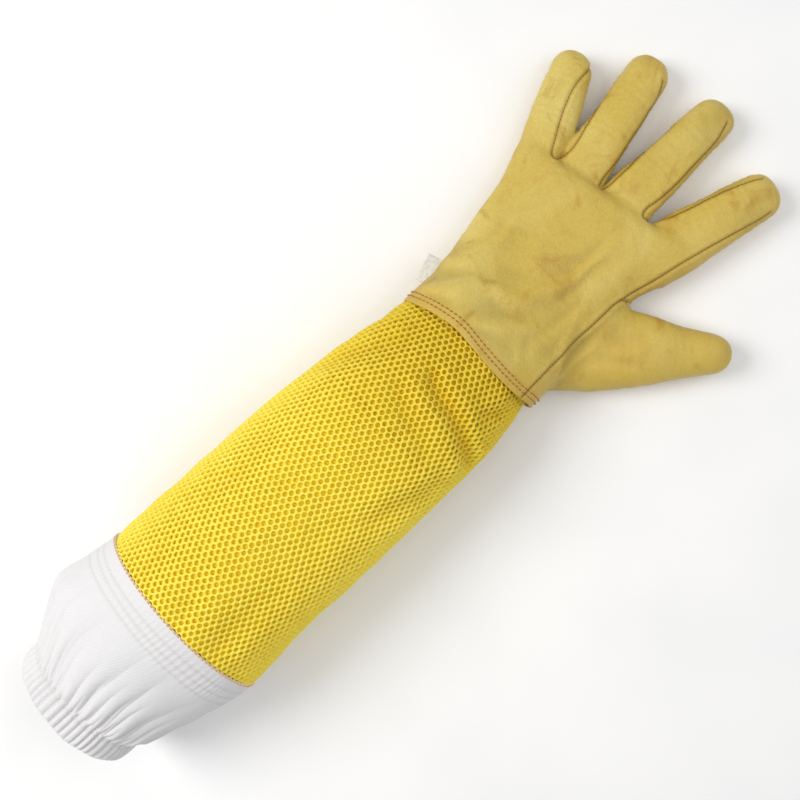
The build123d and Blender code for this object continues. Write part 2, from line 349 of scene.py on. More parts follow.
class Nodes:
    """Short calls for building one material's nodes. Places are in millimetres, from "Rest"."""

    def __init__(self, name, roughness, specular=0.5, sheen=0.0, sheen_colour=None):
        self.material = bpy.data.materials.new(name)
        self.material.use_nodes = True
        self.tree = self.material.node_tree
        self.shader = self.tree.nodes["Principled BSDF"]
        settings = {"Roughness": roughness, "Specular IOR Level": specular, "Sheen Weight": sheen, "Sheen Roughness": 0.5}
        for key, value in settings.items():
            self.shader.inputs[key].default_value = value
        if sheen_colour:
            self.shader.inputs["Sheen Tint"].default_value = sheen_colour
        self.rest = self.attribute("Rest", "Vector")

    def new(self, kind, **settings):
        node = self.tree.nodes.new("ShaderNode" + kind)
        for key, value in settings.items():
            setattr(node, key, value)
        return node

    def put(self, socket, value):
        if isinstance(value, bpy.types.NodeSocket):
            self.tree.links.new(value, socket)
        else:
            socket.default_value = value

    def attribute(self, name, output="Fac"):
        return self.new("Attribute", attribute_name=name).outputs[output]

    def noise(self, scale, detail=2.0, rough=0.5, vector=None, distortion=0.0):
        node = self.new("TexNoise")
        self.put(node.inputs["Vector"], self.rest if vector is None else vector)
        settings = {"Scale": scale, "Detail": detail, "Roughness": rough, "Distortion": distortion}
        for key, value in settings.items():
            self.put(node.inputs[key], value)
        return node.outputs["Fac"]

    def cells(self, scale):
        node = self.new("TexVoronoi")
        self.put(node.inputs["Vector"], self.rest)
        self.put(node.inputs["Scale"], scale)
        return node.outputs["Distance"]

    def math(self, operation, a, b=0.0):
        node = self.new("Math", operation=operation)
        self.put(node.inputs[0], a)
        self.put(node.inputs[1], b)
        return node.outputs[0]

    def times(self, a, b):
        return self.math("MULTIPLY", a, b)

    def plus(self, a, b):
        return self.math("ADD", a, b)

    def waves(self, place, length):
        return self.math("SINE", self.times(place, 2 * math.pi / length))

    def scaled(self, value, low, high, to_low=0.0, to_high=1.0):
        node = self.new("MapRange", interpolation_type="SMOOTHSTEP")
        for key, number in (("From Min", low), ("From Max", high), ("To Min", to_low), ("To Max", to_high)):
            node.inputs[key].default_value = number
        self.put(node.inputs["Value"], value)
        return node.outputs["Result"]

    def stretch(self, vector, x, y, z):
        node = self.new("Mapping")
        self.put(node.inputs["Vector"], vector)
        node.inputs["Scale"].default_value = (x, y, z)
        return node.outputs["Vector"]

    def mix(self, factor, a, b):
        node = self.new("Mix", data_type="RGBA")
        self.put(node.inputs[0], factor)
        self.put(node.inputs[6], a)
        self.put(node.inputs[7], b)
        return node.outputs[2]

    def part(self, vector, axis):
        node = self.new("SeparateXYZ")
        self.put(node.inputs[0], vector)
        return node.outputs[axis]

    def finish(self, colour, height=None, distance=0.2, strength=1.0, roughness=None):
        self.put(self.shader.inputs["Base Color"], colour)
        if roughness is not None:
            self.put(self.shader.inputs["Roughness"], roughness)
        if height is not None:
            bump = self.new("Bump")
            bump.inputs["Strength"].default_value = strength
            bump.inputs["Distance"].default_value = distance * MM
            self.put(bump.inputs["Height"], height)
            self.put(self.shader.inputs["Normal"], bump.outputs["Normal"])
        return self.material


def leather_material():
    n = Nodes("leather", 0.52, 0.42)
    wide = n.noise(0.016, 3.0, 0.55, distortion=0.6)
    blot = n.noise(0.045, 4.0, 0.6, distortion=0.8)
    fine = n.noise(0.5, 4.0, 0.65)
    colour = n.mix(n.scaled(wide, 0.35, 0.62), srgb(219, 197, 107), srgb(209, 181, 82))
    colour = n.mix(n.scaled(blot, 0.53, 0.72), colour, srgb(192, 154, 62))
    colour = n.mix(n.scaled(fine, 0.3, 0.75, 0.0, 0.22), colour, srgb(172, 140, 62))
    pores = n.cells(1.15)
    colour = n.mix(n.scaled(pores, 0.0, 0.5, 0.16, 0.0), colour, srgb(150, 118, 50))
    colour = n.mix(n.times(n.attribute("Tan"), 0.75), colour, srgb(198, 163, 66))
    # Painted shade in the troughs of the leather's folds
    painted_fold_shade = n.attribute("PaintedFoldShade")
    colour = n.mix(n.times(painted_fold_shade, 0.38), colour, srgb(150, 132, 62))
    # Painted shade beside each seam, then a dark line in each seam groove that is partly painted shadow and
    # partly stitch thread
    gap = n.math("ABSOLUTE", n.attribute("Seam"))
    near = n.attribute("Near")
    shade = n.times(n.scaled(gap, 0.2, 2.2, 0.4, 0.0), near)
    colour = n.mix(shade, colour, srgb(168, 132, 48))
    needle = n.waves(n.attribute("Run"), 2.3)
    line = n.times(n.scaled(gap, 0.18, 0.55, 1.0, 0.0), n.scaled(needle, -1.0, 0.6, 0.85, 0.5))
    colour = n.mix(n.times(line, near), colour, srgb(112, 84, 30))
    grain = n.plus(n.times(n.cells(0.95), 0.8), n.times(n.noise(0.35, 5.0, 0.62), 1.1))
    rough = n.scaled(n.noise(0.09, 3.0), 0.3, 0.75, 0.44, 0.62)
    return n.finish(colour, grain, 0.34, 0.62, rough)


def mesh_material():
    n = Nodes("mesh_yarn", 0.72, 0.25, 0.25, srgb(255, 240, 150))
    specks = n.noise(2.6, 3.0, 0.7)
    colour = n.mix(n.scaled(specks, 0.32, 0.7), srgb(250, 222, 52), srgb(255, 246, 118))
    colour = n.mix(n.attribute("Depth"), colour, srgb(250, 218, 36))
    tone = n.noise(0.012, 2.0, 0.5)
    colour = n.mix(n.scaled(tone, 0.35, 0.7, 0.0, 0.3), colour, srgb(240, 210, 44))
    colour = n.mix(n.attribute("Shade"), colour, srgb(230, 200, 48))
    knit = n.plus(n.noise(1.6, 3.0, 0.6), n.cells(1.7))
    return n.finish(colour, knit, 0.3, 0.7)


def lining_material():
    n = Nodes("lining", 0.8, 0.2, 0.2)
    x = n.part(n.rest, 0)
    middle = n.scaled(x, -160.0, -60.0)
    # Painted shade: the lining is darker towards the wrist
    painted_wrist_shade = n.scaled(x, -70.0, 40.0)
    colour = n.mix(middle, srgb(250, 220, 40), srgb(255, 226, 34))
    colour = n.mix(painted_wrist_shade, colour, srgb(206, 164, 18))
    colour = n.mix(n.scaled(n.noise(0.3, 3.0), 0.35, 0.7, 0.0, 0.35), colour, srgb(214, 174, 16))
    weave = n.cells(0.8)
    return n.finish(colour, weave, 0.3, 0.5)


def canvas_material():
    n = Nodes("canvas", 0.78, 0.25, 0.15)
    cloth = n.attribute("Cloth", "Vector")
    along, around = n.part(cloth, 0), n.part(cloth, 1)
    rib = n.waves(n.plus(along, around), 1.15)
    thread = n.waves(around, 0.55)
    weave = n.plus(n.times(rib, 0.6), n.times(thread, 0.25))
    slub = n.noise(0.8, 3.0, 0.6, n.stretch(cloth, 0.25, 2.0, 1.0))
    colour = n.mix(n.scaled(rib, -1.0, 1.0), srgb(221, 220, 221), srgb(229, 228, 229))
    colour = n.mix(n.scaled(slub, 0.4, 0.75, 0.0, 0.4), colour, srgb(216, 215, 217))
    colour = n.mix(n.times(n.attribute("Shade"), 0.6), colour, srgb(196, 193, 192))
    colour = n.mix(n.times(n.attribute("Row"), 0.5), colour, srgb(205, 200, 196))
    height = n.plus(weave, n.times(slub, 1.2))
    return n.finish(colour, height, 0.12, 0.5)


def thread_material(name, dark, light):
    n = Nodes(name, 0.55, 0.4, 0.1)
    twist = n.noise(3.0, 2.0)
    colour = n.mix(n.scaled(twist, 0.35, 0.65), dark, light)
    return n.finish(colour, n.cells(3.0), 0.1, 0.6)


def label_material():
    n = Nodes("label", 0.6, 0.3, 0.2)
    weave = n.cells(1.6)
    colour = n.mix(n.scaled(n.noise(0.5, 3.0), 0.3, 0.7), srgb(234, 232, 228), srgb(216, 214, 209))
    return n.finish(colour, weave, 0.12, 0.6)


def elastic_material():
    n = Nodes("elastic", 0.7, 0.3)
    ribs = n.waves(n.part(n.rest, 0), 1.4)
    colour = n.mix(n.scaled(ribs, -1.0, 1.0), srgb(214, 213, 210), srgb(240, 239, 237))
    return n.finish(colour, ribs, 0.2, 0.7)


LEATHER = leather_material()
MESH = mesh_material()
LINING = lining_material()
CANVAS = canvas_material()
RUST = thread_material("hem_thread", srgb(150, 84, 22), srgb(190, 116, 38))
ORANGE = thread_material("seam_thread", srgb(226, 150, 40), srgb(240, 178, 70))
WHITE = thread_material("white_thread", srgb(226, 224, 222), srgb(246, 245, 244))
LABEL = label_material()
ELASTIC = elastic_material()


# ---------------------------------------------------------------- the leather hand
VOXEL = 0.9
LOW, HIGH = (31.0, -110.0, -4.0), (264.0, 110.0, 68.0)


def blend_min(a, b, k):
    h = np.clip(0.5 + 0.5 * (b - a) / k, 0, 1)
    return b + (a - b) * h - k * h * (1 - h)


# Where the leather ends, at each y: it isn't quite straight
hem_x = curve(
    [(-48, 49), (-36, 47.5), (-25, 45), (-11, 43.7), (10, 44), (23, 44.6), (40, 41.4), (56, 36.5), (70, 34)]
)
steps = [np.arange(a, b, VOXEL, dtype=np.float32) for a, b in zip(LOW, HIGH)]
gx, gy, gz = np.meshgrid(*steps, indexing="ij", sparse=True)


def to_distance(r):
    """Turns a form that is 1 on its surface into a distance in mm."""
    grads = np.gradient(r.astype(np.float32), VOXEL)
    size = np.sqrt(sum(g * g for g in grads))
    return np.clip((r - 1) / np.maximum(size, 0.01), -9, 9).astype(np.float32)


palm_low, palm_high, palm_floor, palm_top, palm_power = curves(PALM_STATIONS)


def palm_form(x, y, z):
    n = palm_power(x)
    low, high, floor, top = palm_low(x), palm_high(x), palm_floor(x), palm_top(x)
    across = np.abs((2 * y - low - high) / (high - low))
    up = np.abs((2 * z - floor - top) / (top - floor))
    return (across**n + up**n) ** (1 / n)


def finger_form(base, shape, height, lift, root, end, power):
    """A tapered finger with a round end."""
    s, l = local(base, gx, gy)
    table = np.array(shape, float)
    if root > -1:
        table[:, 0] *= base[3]
        root *= base[3]
    half, shift = (value(s) for value in curves(table))
    share = np.clip(s / base[3], 0, 1)
    tall = height / 2 * (1 - 0.1 * share)
    middle = lift + height / 2 * (1 - 0.1 * share) + 1.2 * np.sin(np.pi * share)
    r = (np.abs((l - shift) / half) ** power + np.abs((gz - middle) / tall) ** power) ** (1 / power)
    q = np.maximum((s - (base[3] - end)) / end, 0) + np.maximum((root - s) / 8, 0)
    return to_distance((r**2.3 + q**2.3) ** (1 / 2.3))


forms = [finger_form(base, FINGER_SHAPES[name], 23.5, 0.3, -0.25, 12.5, 2.5) for name, base in FINGERS.items()]
thumb_form = finger_form(THUMB, THUMB_SHAPE, 27.5, 0.3, -26.0, 12.5, 2.4)
field = to_distance(palm_form(gx, gy, gz))
past = local(CROTCH, gx, gy)[0]
field = -blend_min(-field, -(past + 3.5) * np.ones_like(field), 7.0)
hand = None
for form in forms:
    hand = form if hand is None else blend_min(hand, form, 1.6)
field = blend_min(field, hand, 6.0)
field = blend_min(field, thumb_form, 6.5)

volume = vdb.FloatGrid(9.0)
volume.copyFromArray(np.ascontiguousarray(field, dtype=np.float32))
points, quads = volume.convertToQuads(0.0)
points = np.array(points, float) * VOXEL + np.array(LOW)
quads = np.array(quads, np.int64)
if ((normals_of(points, quads) * (points - [150, 10, 15])).sum()) < 0:
    quads = quads[:, ::-1]
centre = points[quads].mean(axis=1)
used, quads = compact(len(points), quads[centre[:, 0] > hem_x(centre[:, 1]) + 0.4 * VOXEL])
points = points[used]


def relax(points, quads, rounds, fixed):
    """Evens out a mesh a little."""
    edges = edges_of(quads)
    for _ in range(rounds):
        total, count = np.zeros_like(points), np.zeros(len(points))
        for a, b in ((0, 1), (1, 0)):
            np.add.at(total, edges[:, a], points[edges[:, b]])
            np.add.at(count, edges[:, a], 1)
        moved = points * 0.5 + 0.5 * total / count[:, None]
        points = np.where(fixed[:, None], points, moved)
    return points


hem = np.zeros(len(points), bool)
hem[border_edges(quads).ravel()] = True
points = relax(points, quads, 5, hem)
points[hem, 0] = hem_x(points[hem, 1])

# Seams on the back of the hand, where two panels are sewn together and turned: each line's points,
# and 1 if the finger's side wall is on its left or -1 if it is on its right
LITTLE_SEAM = [(214, 86), (206.8, 83.5), (192.6, 81.6), (178.5, 75.7), (164.6, 67.3)]
INDEX_SEAM = [(127, -28), (141.9, -31.1), (155, -33.6), (168.3, -35.9), (184, -39.4)]
SEAMS = [
    (LITTLE_SEAM + [(157.4, 62.6), (155.2, 59.6), (156.2, 58.2)], 1),
    ([(156.2, 58.2), (159, 57), (170, 56.9), (188, 62.5), (207.5, 67.9), (218, 71.5)], 1),
    ([(165.2, 29.6), (169, 31), (180.8, 32.8), (192.2, 35.8), (209.6, 40.4), (226, 45), (234, 50)], -1),
    ([(165.2, 29.6), (166.4, 26.6), (180.7, 26.3), (203.1, 27.6), (222, 27)], 1),
    ([(172.2, -4.4), (171.4, -1), (176, 0.9), (190.5, -0.3), (217.4, 0.9), (233, 1.7), (246, 6)], -1),
    ([(172.2, -4.4), (177, -7.4), (186.9, -12.7), (204.3, -17.9), (220.1, -23.2), (233.4, -28.4), (240, -32)], 1),
    (INDEX_SEAM + [(201, -43.6), (219.6, -48.5), (230, -50)], -1),
    ([(131.5, -33), (127, -28), (112, -27.2), (85, -27.4), (56, -28), (40, -29)], 1),
]
SEAMS = [(smooth_line(line), side) for line, side in SEAMS]

# Soft folds of the leather: a line in the xy plane, height and half width
FOLDS = [
    ([(44, 58), (58, 42), (70, 29), (88, 14), (107, 5), (127, 1), (150, -2)], 1.35, 4.6),
    ([(58, 60), (72, 51), (84, 44), (98, 41), (118, 43)], 0.9, 4.0),
    ([(66, -12), (80, -17), (96, -21), (114, -23)], 0.7, 3.6),
    ([(50, 22), (64, 8), (78, -6), (90, -10)], 0.7, 4.0),
    ([(118, 22), (136, 16), (158, 14)], 0.45, 5.0),
    ([(74, 57), (96, 58), (120, 64)], 0.6, 4.0),
    ([(104, -28), (94, -30), (86, -31.5), (76, -34), (66, -38)], -1.3, 2.6),
    ([(98, -48), (112, -52), (126, -64)], 0.8, 4.5),
    ([(84, -44), (98, -56), (110, -68)], 0.7, 3.6),
]
FOLDS = [(smooth_line(line), size, wide) for line, size, wide in FOLDS]
broad = Waves((34, 52), 4, 3)
small = Waves((9, 14), 5, 4)
warp = Waves((26,), 4, 5)


def relief(p, n):
    """How far the leather stands off its smooth form, how deep in a seam each point is, and how deep in a fold,
    which is painted as shade in the fold troughs.
    """
    upper = smooth_step(n[:, 2], -0.35, 0.15)
    seam, rise = np.zeros(len(p)), np.zeros(len(p))
    line_gap, line_run = np.full(len(p), -9.0), np.zeros(len(p))
    for line, wall in SEAMS:
        gap, place, signed, total = line_distance(p, line)
        inside = np.minimum(smooth_step(place, 0, 0.4), smooth_step(total - place, 0, 0.4))
        seam = np.maximum(seam, bell(gap, 0.75) * upper)
        signed = np.where(inside * upper > 0.3, wall * signed, 9 * wall * np.where(signed < 0, -1, 1))
        nearer = np.abs(signed) < np.abs(line_gap)
        line_gap, line_run = np.where(nearer, signed, line_gap), np.where(nearer, place, line_run)
        pucker = 0.07 * np.sin(2 * np.pi * place / 5.2 + 2 * np.sin(place / 9)) * bell(gap - 2.6, 1.8)
        rise += upper * (0.3 * bell(gap - 2.2, 1.2) + pucker)
    bent = p + 3.0 * np.stack([warp(p), warp(p[:, [1, 2, 0]]), warp(p[:, [2, 0, 1]])], axis=1)
    fold = folds_at(bent, FOLDS, 12, 0.45, 1.9)
    rise += 0.45 * broad(p) + 0.1 * small(bent) + upper * fold
    for name, base in [*FINGERS.items(), ("thumb", THUMB)]:
        s, l = local(base, p[:, 0], p[:, 1])
        inside = (np.abs(l) < 20) & (s > 0)
        shares = THUMB_JOINTS if name == "thumb" else (MIDDLE_JOINT * base[3], TIP_JOINT * base[3])
        for place in shares:
            ripple = bell(s - place, 5.5) * np.sin(2 * np.pi * (s - place + 0.8 * warp(p)) / 4.6)
            rise += np.where(inside, 0.13 * ripple * upper + 0.22 * ripple * (1 - upper), 0)
    # The leather lies closer to its form towards the hem
    rise = np.where(p[:, 0] < 70, rise * (0.55 + 0.45 * smooth_step(p[:, 0], 44, 60)), rise)
    rise -= 0.8 * seam
    # The last value is how deep in a fold each point is, for painted shade in the fold troughs
    return rise, line_gap, line_run, np.clip(-(fold + 0.4 * broad(p)) * 0.8, 0, 1)


normals = normals_of(points, quads)
# The last value is painted shade for the fold troughs
rise, seam, seam_run, painted_fold_shade = relief(points, normals)
# The underside rests on the table, so the leather is flat there
rise = np.where(normals[:, 2] < -0.6, np.minimum(rise, 0.2), rise)
points = points + normals * rise[:, None]
points[:, 2] = np.maximum(points[:, 2], 0.15)
points[hem, 0] = hem_x(points[hem, 1])
normals = normals_of(points, quads)
tan = np.exp(-((points[:, 0] - hem_x(points[:, 1])) / 11.0)) * 0.8 + 0.2 * smooth_step(-points[:, 1], 28, 36)
# Worn, tanned patches: x, y, radius, strength
PATCHES = [(108, -52, 14, 0.75), (128, -72, 9, 0.4), (238, 60, 8, 0.6)]
PATCHES += [(244, 12, 9, 0.85), (234, -40, 9, 0.5), (150, 46, 9, 0.3)]
ragged = np.clip(1 + 0.5 * small(points), 0.4, 2)
for patch_x, patch_y, radius, strength in PATCHES:
    away = np.hypot(points[:, 0] - patch_x, points[:, 1] - patch_y)
    tan = np.maximum(tan, strength * np.exp(-((away / radius) ** 2) * ragged))

# The hem's folded edge: rings of points from the border, turned in under the leather
def border_loops(quads):
    following = {a: b for a, b in border_edges(quads)}
    loops = []
    while following:
        here, loop = next(iter(following)), []
        while here in following:
            loop.append(here)
            here = following.pop(here)
        loops.append(loop)
    return loops


loop = max(border_loops(quads), key=len)
border = points[loop]
middle = np.array([0, border[:, 1].mean(), border[:, 2].mean()])
inward = (middle - border) * [0, 1, 1]
inward /= np.linalg.norm(inward, axis=1)[:, None]
rings = []
for back, down in ((-0.5, 0.15), (-0.8, 0.6), (-0.8, 1.2), (-0.4, 1.75), (0.8, 2.4), (3.2, 3.6)):
    rings.append(border + [back, 0, 0] + inward * down)
lip = np.vstack([border] + rings)
lip_quads = grid_quads(len(rings) + 1, len(loop), wrap_columns=True)
lip_used = len(points)
points_all = np.vstack([points] + rings)
number = np.concatenate([np.array(loop), lip_used + np.arange(len(rings) * len(loop))])
lip_quads = number[lip_quads]
outward = normals_of(points_all, lip_quads)
if (outward[loop] * normals[loop]).sum() < 0:
    lip_quads = lip_quads[:, ::-1]
extra = len(rings) * len(loop)
leather = {
    "points": points_all,
    "Seam": np.concatenate([np.clip(seam, -3, 3), np.full(extra, -3.0)]),
    "Near": np.concatenate([1 - smooth_step(np.abs(seam), 1.8, 2.6), np.zeros(extra)]),
    "Run": np.concatenate([seam_run, np.zeros(extra)]),
    # Painted shade in the fold troughs
    "PaintedFoldShade": np.concatenate([painted_fold_shade, np.zeros(extra)]),
    "Tan": np.concatenate([tan, np.ones(extra)]),
}
leather["normals"] = normals_of(points_all, np.vstack([quads, lip_quads]))

# Split at the joints
mid = points[quads].mean(axis=1)
label_of = np.zeros(len(quads), int)
pieces_cut = {}
for i, (name, base) in enumerate(FINGERS.items()):
    s, l = local(base, mid[:, 0], mid[:, 1])
    length = JOINT_LENGTHS[name]
    own = np.abs(l) < 18.5
    for other in FINGERS:
        if other != name:
            s2, l2 = local(FINGERS[other], mid[:, 0], mid[:, 1])
            own &= ~((np.abs(l2) < np.abs(l)) & (s2 > 0))
    first = MIDDLE_JOINT * length - 10
    second = (MIDDLE_JOINT + TIP_JOINT) / 2 * length
    label_of[own & (s > first) & (s <= second)] = 2 * i + 1
    label_of[own & (s > second)] = 2 * i + 2
    bodies = ("knuckles", f"{name}_middle", f"{name}_tip")
    for k, share in ((1, MIDDLE_JOINT), (2, TIP_JOINT)):
        nodes = tuple(f"{bodies[k]}_{side}" for side in ("back", "fourchettes", "palm"))
        pieces_cut[2 * i + k] = (f"leather_{bodies[k]}", bodies[k - 1], bodies[k], base, share * length, nodes)
s, l = local(THUMB, mid[:, 0], mid[:, 1])
THUMB_CUTS = (13.0, 33.0)
own = (l < 20.5 - 0.15 * (s - 13)) & (label_of == 0)
label_of[own & (s > THUMB_CUTS[0]) & (s <= THUMB_CUTS[1])] = 9
label_of[own & (s > THUMB_CUTS[1])] = 10
THUMB_PIECES = ((9, "hand", "thumb_base", 21.0), (10, "thumb_base", "thumb_tip", THUMB_JOINTS[1]))
for number, body, other, joint in THUMB_PIECES:
    pieces_cut[number] = (f"leather_{other}", body, other, THUMB, joint, (f"{other}_back", f"{other}_palm"))
HAND_NODES = ["hand_back_panel", "index_side_strip", "hand_palm_panel", "thumb_gusset", "wrist_hem"]
HAND_NODES += ["knuckle_back", "knuckle_fourchettes", "knuckle_palm", "crotch_web"]
HAND_NODES += [f"{name}_base" for name in FINGERS]
pieces_cut[0] = ("leather_hand", "hand", "knuckles", KNUCKLE, 0.0, tuple(HAND_NODES))


LEATHER_THICKNESS = 1.0
# How far each side of a joint the places given to blends lie, where it isn't 9 mm
BEND_REACH = {0: 12.0, 9: 8.0}


def leather_piece(number):
    name, body, other, base, joint, nodes = pieces_cut[number]
    mine = quads[label_of == number]
    if number == 0:
        mine = np.vstack([mine, lip_quads])
    used, mine = compact(len(leather["points"]), mine)
    p, n = leather["points"][used], leather["normals"][used]
    p2, q2, n2 = thick_shell(p, mine, n, LEATHER_THICKNESS)
    twice = {key: np.tile(leather[key][used], 2) for key in ("Seam", "Run", "Near", "PaintedFoldShade", "Tan")}
    obj = piece(name, p2, q2, LEATHER, normals=n2, **twice)
    reach = BEND_REACH.get(number, 9.0)
    blends(obj, (body, other, at(base, joint - reach), at(base, joint + reach)), "leather", *nodes)


for number in pieces_cut:
    leather_piece(number)


# ---------------------------------------------------------------- hem stitching and label
def hem_place(turn, inset):
    """A point on the leather near the hem, at a distance from its edge, and its outward normal."""
    turn = np.atleast_1d(turn)
    x = np.full(len(turn), HEM_X)
    for _ in range(4):
        low, high, top, n = palm_low(x), palm_high(x), palm_top(x), palm_power(x)
        c, s = np.cos(turn), np.sin(turn)
        y = (low + high) / 2 + (high - low) / 2 * np.sign(s) * np.abs(s) ** (2 / n)
        z = top / 2 + top / 2 * np.sign(c) * np.abs(c) ** (2 / n)
        x = hem_x(y) + inset
    p = np.stack([x, y, z], axis=1)
    power = 2 - 2 / n
    sideways, upward = np.sign(s) * np.abs(s) ** power / (high - low), np.sign(c) * np.abs(c) ** power / top
    normal = np.stack([np.zeros_like(x), sideways, upward], axis=1)
    normal /= np.linalg.norm(normal, axis=1)[:, None]
    return p + normal * relief(p, normal)[0][:, None], normal


def at_runs(where, run, line):
    return np.stack([np.interp(where, run, line[:, i]) for i in range(3)], axis=1)


def stitches_along(line, facing, first, pitch, reach, girth, rise, floor, sides=6, wander=0.0):
    """Stitches along a line, each a pinched tube, without those lower than floor."""
    run = np.concatenate([[0], np.cumsum(np.linalg.norm(np.diff(line, axis=0), axis=1))])
    parts = []
    for start in np.arange(first, run[-1] - pitch, pitch):
        p = at_runs(start + reach, run, line)
        if p[:, 2].mean() < floor:
            continue
        p = p + facing(start + reach, run, p) * rise[:, None]
        if wander:
            p = p + rng.normal(0, wander, 3) * [1, 0, 0]
        parts.append(tube_between(p, girth, sides))
    return parts


HEM_PITCH, HEM_THREAD, HEM_LIFT = 2.9, 0.32, 0.34


def hem_row(inset):
    """A row of stitches round the hem, at a distance from its edge."""
    line, normal = hem_place(np.linspace(-np.pi, np.pi, 2001), inset)
    reach = HEM_PITCH * np.array([0.02, 0.14, 0.32, 0.5, 0.68, 0.86, 0.98]) * 0.84
    girth = HEM_THREAD * np.array([0.35, 0.8, 1, 1.05, 1, 0.8, 0.35])
    rise = HEM_LIFT * np.array([-1.6, 0.1, 0.8, 1.0, 0.8, 0.1, -1.6])

    def facing(where, run, p):
        return at_runs(where, run, normal)

    return stitches_along(line, facing, 0.3, HEM_PITCH, reach, girth, rise, 2.0, wander=0.05)


stitch_points, stitch_quads = gather(hem_row(2.9) + hem_row(5.7))
stitches = piece("hem_stitches", stitch_points, stitch_quads, RUST)
rides(stitches, "hand", "hem_thread", "hem_stitching")

low_box, high_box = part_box("care_label")
u = np.linspace(0, 1, 22)
v = np.linspace(0, 1, 12)
uu, vv = np.meshgrid(u, v, indexing="ij")
start = np.array([50.5, 54.5]) + vv[..., None] * (np.array([49.0, 61.0]) - np.array([50.5, 54.5]))
end = np.array([69.5, 53.5]) + vv[..., None] * (np.array([64.2, 67.6]) - np.array([69.5, 53.5]))
flat_place = start + uu[..., None] * (end - start)
label_z = (low_box[2] + high_box[2]) / 2 / MM + 2.2 * vv**2 * (0.4 + uu) - 1.2 * vv + 0.5 * np.sin(3 * uu) * vv
label_points = np.dstack([flat_place, label_z]).reshape(-1, 3)
label_quads = grid_quads(22, 12)
label_normals = normals_of(label_points, label_quads)
p, q, n = thick_shell(label_points, label_quads, label_normals, 0.45)
label = piece("blank_label", p, q, LABEL)
rides(label, "hand", "label", "care_label")


# ---------------------------------------------------------------- the mesh sleeve
# x, width, centre y, height of the sleeve's outer surface
SLEEVE = [
    (-180, 111.8, 10.6, 86),
    (-150, 110, 11.2, 85.4),
    (-122, 107.8, 12, 84.5),
    (-95, 107.4, 12.6, 83),
    (-70, 107.6, 12.6, 81),
    (-45, 107, 11.4, 79),
    (-20, 104.6, 10.2, 76),
    (0, 101.2, 9.2, 72),
    (18, 97.4, 8.9, 67.5),
    (32, 93.4, 9.2, 62.5),
    (44, 89.6, 9.6, 57.6),
    (58, 88, 9.8, 53.5),
]
sleeve_width, sleeve_y, sleeve_height = curves(SLEEVE)
ARC_X = np.linspace(-182, 60, 122)
ARC_V = np.linspace(0, 170, 341)
turn_fine = np.linspace(0, np.pi, 400)
arc_turn = np.zeros((len(ARC_X), len(ARC_V)))
arc_half = np.zeros(len(ARC_X))
for i, x in enumerate(ARC_X):
    a, b = sleeve_width(x) / 2, sleeve_height(x) / 2
    step = np.hypot(a * np.cos(turn_fine), b * np.sin(turn_fine))
    run = np.concatenate([[0], np.cumsum((step[1:] + step[:-1]) / 2 * (turn_fine[1] - turn_fine[0]))])
    arc_half[i] = run[-1]
    arc_turn[i] = np.interp(ARC_V, run, turn_fine)


def turn_at(x, v):
    """The angle from the top at which the surface distance round the sleeve is v."""
    fx = np.clip((x - ARC_X[0]) / (ARC_X[1] - ARC_X[0]), 0, len(ARC_X) - 1.001)
    fv = np.clip(np.abs(v) / (ARC_V[1] - ARC_V[0]), 0, len(ARC_V) - 1.001)
    i, j = fx.astype(int), fv.astype(int)
    s, t = fx - i, fv - j
    low = arc_turn[i, j] * (1 - t) + arc_turn[i, j + 1] * t
    high = arc_turn[i + 1, j] * (1 - t) + arc_turn[i + 1, j + 1] * t
    return np.sign(v) * (low * (1 - s) + high * s)


sleeve_waves = Waves((60, 95), 4, 21)
sleeve_small = Waves((18, 26), 4, 22)
# Creases of the sleeve near the wrist: x, surface distance from the top; depth and half width
CREASES = [
    ([(22, 12), (14, -2), (11, -20), (4, -40), (-4, -58)], -2.4, 4.4),
    ([(36, -46), (24, -34), (16, -30)], -1.3, 4.0),
    ([(4, 20), (-6, 4), (-10, -14), (-20, -34)], -1.0, 5.0),
    ([(30, 28), (14, 34), (-6, 46), (-26, 60)], -1.3, 6.0),
    ([(36, 52), (22, 60), (4, 74)], -1.2, 5.0),
    ([(-20, -52), (-44, -40), (-70, -36)], -1.0, 7.0),
    ([(-60, 44), (-92, 34), (-120, 40)], -0.9, 8.0),
    ([(-172, -30), (-150, -24), (-128, -30)], -1.0, 7.0),
    ([(-172, 36), (-156, 30), (-140, 34)], -0.9, 6.0),
    ([(-172, 4), (-160, 2), (-146, 8)], -0.7, 6.0),
]
CREASES = [(smooth_line(line), size, wide) for line, size, wide in CREASES]


def sleeve_relief(x, v):
    flat = np.stack([x, v, 0 * x], axis=1)
    out = 0.8 * sleeve_waves(flat) + 0.22 * sleeve_small(flat)
    fold = folds_at(flat, CREASES, 10, 0.5, 2)
    under = smooth_step(np.abs(v), 105, 130)
    # Puckers where the sleeve is gathered into the hem and into the cuff
    hem_pucker = 0.5 * np.sin(v / 3.3 + 1.5 * np.sin(v / 17)) * bell(x - 40, 12)
    cuff_pucker = 0.35 * np.sin(v / 4.1 + 2.0 * np.sin(v / 23)) * bell(x - MESH_END, 9)
    inside_hem = smooth_step(x, 44, 52)
    under = np.maximum(under, 0.85 * (1 - smooth_step(x, -174, -160)))
    out = (out + fold) * (1 - under) * (1 - 0.8 * inside_hem)
    return out + hem_pucker * (1 - inside_hem) + cuff_pucker, fold


def sleeve_surface(x, v, depth):
    """Points of the sleeve at surface distance v from its top and a depth below its outside."""
    turn = turn_at(x, v)
    a, b = sleeve_width(x) / 2, sleeve_height(x) / 2
    p = np.stack([x, sleeve_y(x) + a * np.sin(turn), b + b * np.cos(turn)], axis=1)
    n = np.stack([0 * x, np.sin(turn) / a, np.cos(turn) / b], axis=1)
    n /= np.linalg.norm(n, axis=1)[:, None]
    out, fold = sleeve_relief(x, v)
    p = p + n * (out - depth)[:, None]
    p[:, 2] = np.maximum(p[:, 2], 0.2 + np.maximum(depth, 0) * 0.5)
    return p, fold


